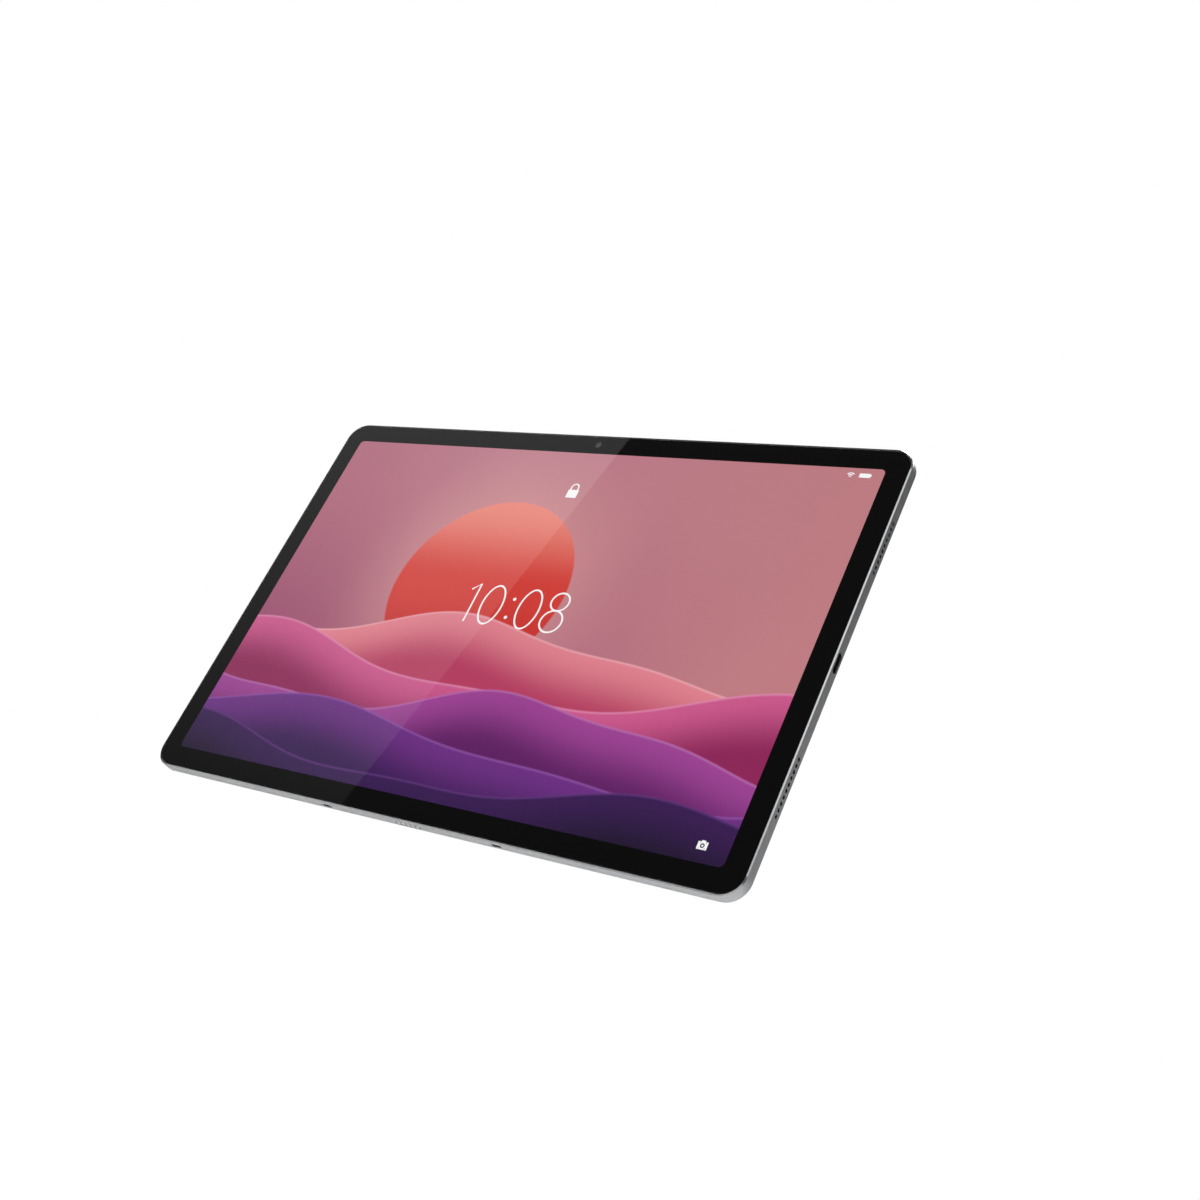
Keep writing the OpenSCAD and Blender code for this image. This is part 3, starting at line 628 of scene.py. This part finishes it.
class Strokes:
    """Flat strokes drawn on the lit screen, in millimetres from its middle."""

    def __init__(self, depth):
        self.mesh = bmesh.new()
        self.depth = depth

    def point(self, x, y):
        """A corner on the screen."""
        return self.mesh.verts.new((SCREEN.x + x * MM, self.depth, SCREEN.z + y * MM))

    def path(self, points, width, closed=False):
        """A band of even width along a path of (x, y) points."""
        count = len(points)
        pairs = []
        for i, here in enumerate(points):
            before = points[i - 1] if (closed or i > 0) else here
            after = points[(i + 1) % count] if (closed or i < count - 1) else here
            run = Vector((after[0] - before[0], after[1] - before[1])).normalized()
            side = Vector((-run.y, run.x)) * width / 2
            left = self.point(here[0] + side.x, here[1] + side.y)
            right = self.point(here[0] - side.x, here[1] - side.y)
            pairs.append((left, right))
        for i in range(count if closed else count - 1):
            a, b = pairs[i], pairs[(i + 1) % count]
            self.mesh.faces.new((a[0], a[1], b[1], b[0]))

    def arc(self, centre, radii, start, end, width, steps=28):
        """Part of an ellipse, or all of it, between two angles in degrees."""
        points = []
        for i in range(steps + 1):
            angle = math.radians(start + (end - start) * i / steps)
            points.append((centre[0] + radii[0] * math.cos(angle), centre[1] + radii[1] * math.sin(angle)))
        closed = abs(end - start) >= 360
        self.path(points[:-1] if closed else points, width, closed)

    def disc(self, centre, radius, steps=20):
        """A filled disc."""
        self.arc(centre, (radius / 2, radius / 2), 0, 360, radius, steps)

    def slab(self, low, high):
        """A filled rectangle."""
        y = (low[1] + high[1]) / 2
        self.path([(low[0], y), (high[0], y)], high[1] - low[1])

    def finish(self, name, material):
        """Makes one object of all the strokes."""
        keep(self.mesh, name, material)


def white_light():
    """The lit white of the digits and signs."""
    s = Shader("screen_white")
    glow = s.span(s.noise(300), 0.3, 0.7, 0.9, 1.0)
    s.set(Base_Color=grey(0.02))
    s.set(Emission_Color=s.mix(glow, (0.9, 0.86, 0.87), (1, 1, 1)), Emission_Strength=1.0)
    return s.material


SIGN_DEPTH = lcd_low.y - 0.03 * MM
sign_white = white_light()


def clock_digits():
    """The time 10:08 in a light round face."""
    s = Strokes(SIGN_DEPTH)
    foot, height, width, stroke = -5.0, 19.0, 10.4, 0.82
    one, first_zero, colon, second_zero, eight = -22.4, -12.2, -2.2, 6.9, 20.5
    lower_bowl, upper_bowl = 5.2, 4.3
    top, mid = foot + height, foot + height / 2
    zero = (width / 2, height / 2)
    s.path([(one - 3.8, top - 3.2), (one, top), (one, foot)], stroke)
    s.arc((first_zero, mid), zero, 0, 360, stroke, 48)
    for y in (foot + 4.4, top - 5.6):
        s.disc((colon, y), 0.8)
    s.arc((second_zero, mid), zero, 0, 360, stroke, 48)
    s.arc((eight, foot + lower_bowl), (lower_bowl, lower_bowl), 0, 360, stroke, 40)
    s.arc((eight, top - upper_bowl), (upper_bowl, upper_bowl), 0, 360, stroke, 40)
    s.finish("clock_digits", sign_white)


def padlock(s):
    """A closed padlock above the clock."""
    shackle = [(-2.5, 65.5), (-2.5, 67.0), (-2.1, 68.1), (-0.7, 68.7), (0.7, 68.1), (1.1, 67.0), (1.1, 65.5)]
    s.slab((-3.4, 61.4), (2.0, 65.6))
    s.path(shackle, 0.7)


def signal_fan(s):
    """Three arcs of a wireless signal near the top right corner."""
    foot, right_end, left_end, stroke = (122.9, 80.8), 48, 132, 0.45
    for radius in (0.6, 1.4, 2.2):
        s.arc(foot, (radius, radius), right_end, left_end, stroke, 10)


def battery(s):
    """A full battery beside the fan, with its pole."""
    s.slab((126.6, 81.0), (131.2, 83.0))
    s.slab((131.2, 81.5), (131.7, 82.5))


def camera_sign(s):
    """A camera near the bottom right corner: a dot in a ring, four sides and a viewfinder."""
    x, y = 125.9, -79.1
    half_width, half_height = 1.65, 1.37
    s.disc((x, y), 0.42)
    s.arc((x, y), (1.2, 1.2), 0, 360, 0.6)
    for side in (-1, 1):
        wall, rail = x + side * half_width, y + side * half_height
        s.path([(wall, y - 1.5), (wall, y + 1.5)], 0.7)
        s.path([(x - 1.3, rail), (x + 1.3, rail)], 0.26)
    s.slab((x - 0.8, y + 1.5), (x + 0.8, y + 2.0))


def status_signs():
    """The plain generic symbols on the screen."""
    s = Strokes(SIGN_DEPTH)
    padlock(s)
    signal_fan(s)
    battery(s)
    camera_sign(s)
    s.finish("status_signs", sign_white)


clock_digits()
status_signs()


# ---- studio ----

# Brightness of the surroundings as the object sees them, and how far a flag at the left dims them.
IN_FRONT, BEHIND_LOW, BEHIND_HIGH = 0.10, 0.52, 0.04
LEFT_FLAG = 0.4


def studio_world():
    """White to the camera; to the object dim in front, and behind it bright low down and dim high up."""
    world = bpy.data.worlds.new("studio")
    world.use_nodes = True
    tree = world.node_tree
    tree.nodes.clear()

    def made(kind, **settings):
        node = tree.nodes.new(kind)
        for key, value in settings.items():
            setattr(node, key, value)
        return node

    def span(field, low, high, to_low, to_high):
        node = made("ShaderNodeMapRange")
        tree.links.new(field, node.inputs["Value"])
        for key, value in (("From Min", low), ("From Max", high), ("To Min", to_low), ("To Max", to_high)):
            node.inputs[key].default_value = value
        return node.outputs["Result"]

    split = made("ShaderNodeSeparateXYZ")
    tree.links.new(made("ShaderNodeTexCoord").outputs["Generated"], split.inputs[0])
    behind = span(split.outputs["Y"], -0.5, 0.4, 0.0, 1.0)
    high_up = span(split.outputs["Z"], 0.15, 0.6, BEHIND_LOW, BEHIND_HIGH)
    flag = span(split.outputs["X"], -0.45, 0.1, LEFT_FLAG, 1.0)
    shaded = made("ShaderNodeMath", operation="MULTIPLY")
    tree.links.new(high_up, shaded.inputs[0])
    tree.links.new(flag, shaded.inputs[1])
    mix = made("ShaderNodeMix", data_type="FLOAT")
    tree.links.new(behind, mix.inputs["Factor"])
    mix.inputs["A"].default_value = IN_FRONT
    tree.links.new(shaded.outputs[0], mix.inputs["B"])
    to_camera = made("ShaderNodeMix", data_type="FLOAT")
    tree.links.new(made("ShaderNodeLightPath").outputs["Is Camera Ray"], to_camera.inputs["Factor"])
    tree.links.new(mix.outputs["Result"], to_camera.inputs["A"])
    to_camera.inputs["B"].default_value = 1.0
    back = made("ShaderNodeBackground")
    back.inputs["Color"].default_value = (1, 1, 1, 1)
    tree.links.new(to_camera.outputs["Result"], back.inputs["Strength"])
    tree.links.new(back.outputs[0], made("ShaderNodeOutputWorld").inputs["Surface"])
    bpy.context.scene.world = world


def softbox(name, centre, aim, size, radiance, roll=0.0):
    """A rectangular light that gives an even radiance, hidden from the camera."""
    data = bpy.data.lights.new(name, "AREA")
    data.shape = "RECTANGLE"
    data.size, data.size_y = size
    data.energy = radiance * math.pi * size[0] * size[1]
    made = bpy.data.objects.new(name, data)
    towards = (Vector(aim) - Vector(centre)).normalized()
    turn = towards.to_track_quat("-Z", "Y").to_matrix().to_4x4()
    rolled = Matrix.Rotation(math.radians(roll), 4, "Z")
    made.matrix_world = Matrix.Translation(centre) @ turn @ rolled
    made.visible_camera = False
    bpy.context.collection.objects.link(made)
    return made


def fade_downwards(light, low, high):
    """Dims a softbox from its top to its foot, between two heights given as parts of its own."""
    foot_strength = 0.08
    light.data.use_nodes = True
    tree = light.data.node_tree
    split = tree.nodes.new("ShaderNodeSeparateXYZ")
    span = tree.nodes.new("ShaderNodeMapRange")
    span.inputs["From Min"].default_value = low
    span.inputs["From Max"].default_value = high
    span.inputs["To Min"].default_value = foot_strength
    tree.links.new(tree.nodes.new("ShaderNodeNewGeometry").outputs["Parametric"], split.inputs[0])
    tree.links.new(split.outputs["Y"], span.inputs["Value"])
    tree.links.new(span.outputs["Result"], tree.nodes["Emission"].inputs["Strength"])


def floor():
    """A pale floor well below the tablet, which the photograph's low camera looks over."""
    drop, plain_radius, radius, steps = 0.25, 0.5, 2.0, 96
    mesh = bmesh.new()
    bmesh.ops.create_circle(mesh, cap_ends=True, radius=radius, segments=steps)
    data = bpy.data.meshes.new("floor")
    mesh.to_mesh(data)
    mesh.free()
    made = bpy.data.objects.new("floor", data)
    made.location.z = -drop
    bpy.context.collection.objects.link(made)
    s = Shader("pale_floor")
    x, y, _ = s.axes()
    away = s.math("SQRT", s.math("MULTIPLY_ADD", x, x, s.math("MULTIPLY", y, y)))
    # The floor glows more and more from half a metre out to its rim: a painted glow that fades it into the
    # white world.
    s.set(Emission_Color=grey(1.0), Emission_Strength=s.span(away, plain_radius, radius, 0.0, 0.5))
    s.set(Base_Color=s.mix(s.span(s.noise(40), 0.3, 0.7), grey(0.865), grey(0.875)), Roughness=0.7)
    data.materials.append(s.material)


def camera():
    """The photograph's camera: low and to the right of the screen, and rolled."""
    azimuth, elevation, roll = math.radians(39.26), math.radians(-25.19), math.radians(25.99)
    distance = 0.64417
    across, up = 0.03656, 0.00658
    focal_length, sensor_width = 47.62, 36.0
    level = math.cos(elevation)
    back = Vector((math.sin(azimuth) * level, -math.cos(azimuth) * level, math.sin(elevation)))
    turn = (-back).to_track_quat("-Z", "Y").to_matrix() @ Matrix.Rotation(roll, 3, "Z")
    place = SCREEN + back * distance + turn @ Vector((across, up, 0))
    data = bpy.data.cameras.new("camera")
    data.lens, data.sensor_width = focal_length, sensor_width
    data.clip_start, data.clip_end = 0.01, 20
    made = bpy.data.objects.new("camera", data)
    made.matrix_world = Matrix.Translation(place) @ turn.to_4x4()
    bpy.context.collection.objects.link(made)
    bpy.context.scene.camera = made


def mirrored_light():
    """The light that the screen mirrors on its left part; it leans as the reflection's edge does."""
    edge_middle = Vector((-1.234, -1.323, 0.857))
    lean, radiance = 14.3, 0.45
    width, height = 1.0, 1.5
    reach = Vector((math.cos(math.radians(lean)), 0, -math.sin(math.radians(lean))))
    centre = edge_middle - reach * width / 2
    aim = centre + Vector((0, 1, 0))
    light = softbox("mirrored_light", centre, aim, (width, height), radiance, -lean)
    fade_foot, fade_top = 0.12, 0.7
    fade_downwards(light, fade_foot, fade_top)


def key_light():
    """The main light, high above the tablet and behind it."""
    centre, aim = (0.2, 0.45, 1.4), (0.2, 0.25, -0.25)
    size, radiance = (1.0, 1.0), 9.0
    softbox("key_light", centre, aim, size, radiance)


def edge_light():
    """A weak light from the front right, for the right edge."""
    centre, size, radiance = (1.6, -1.3, 1.1), (0.9, 0.9), 1.2
    softbox("edge_light", centre, SCREEN, size, radiance)


studio_world()
floor()
camera()
mirrored_light()
key_light()
edge_light()
bpy.context.scene.view_settings.view_transform = "Standard"
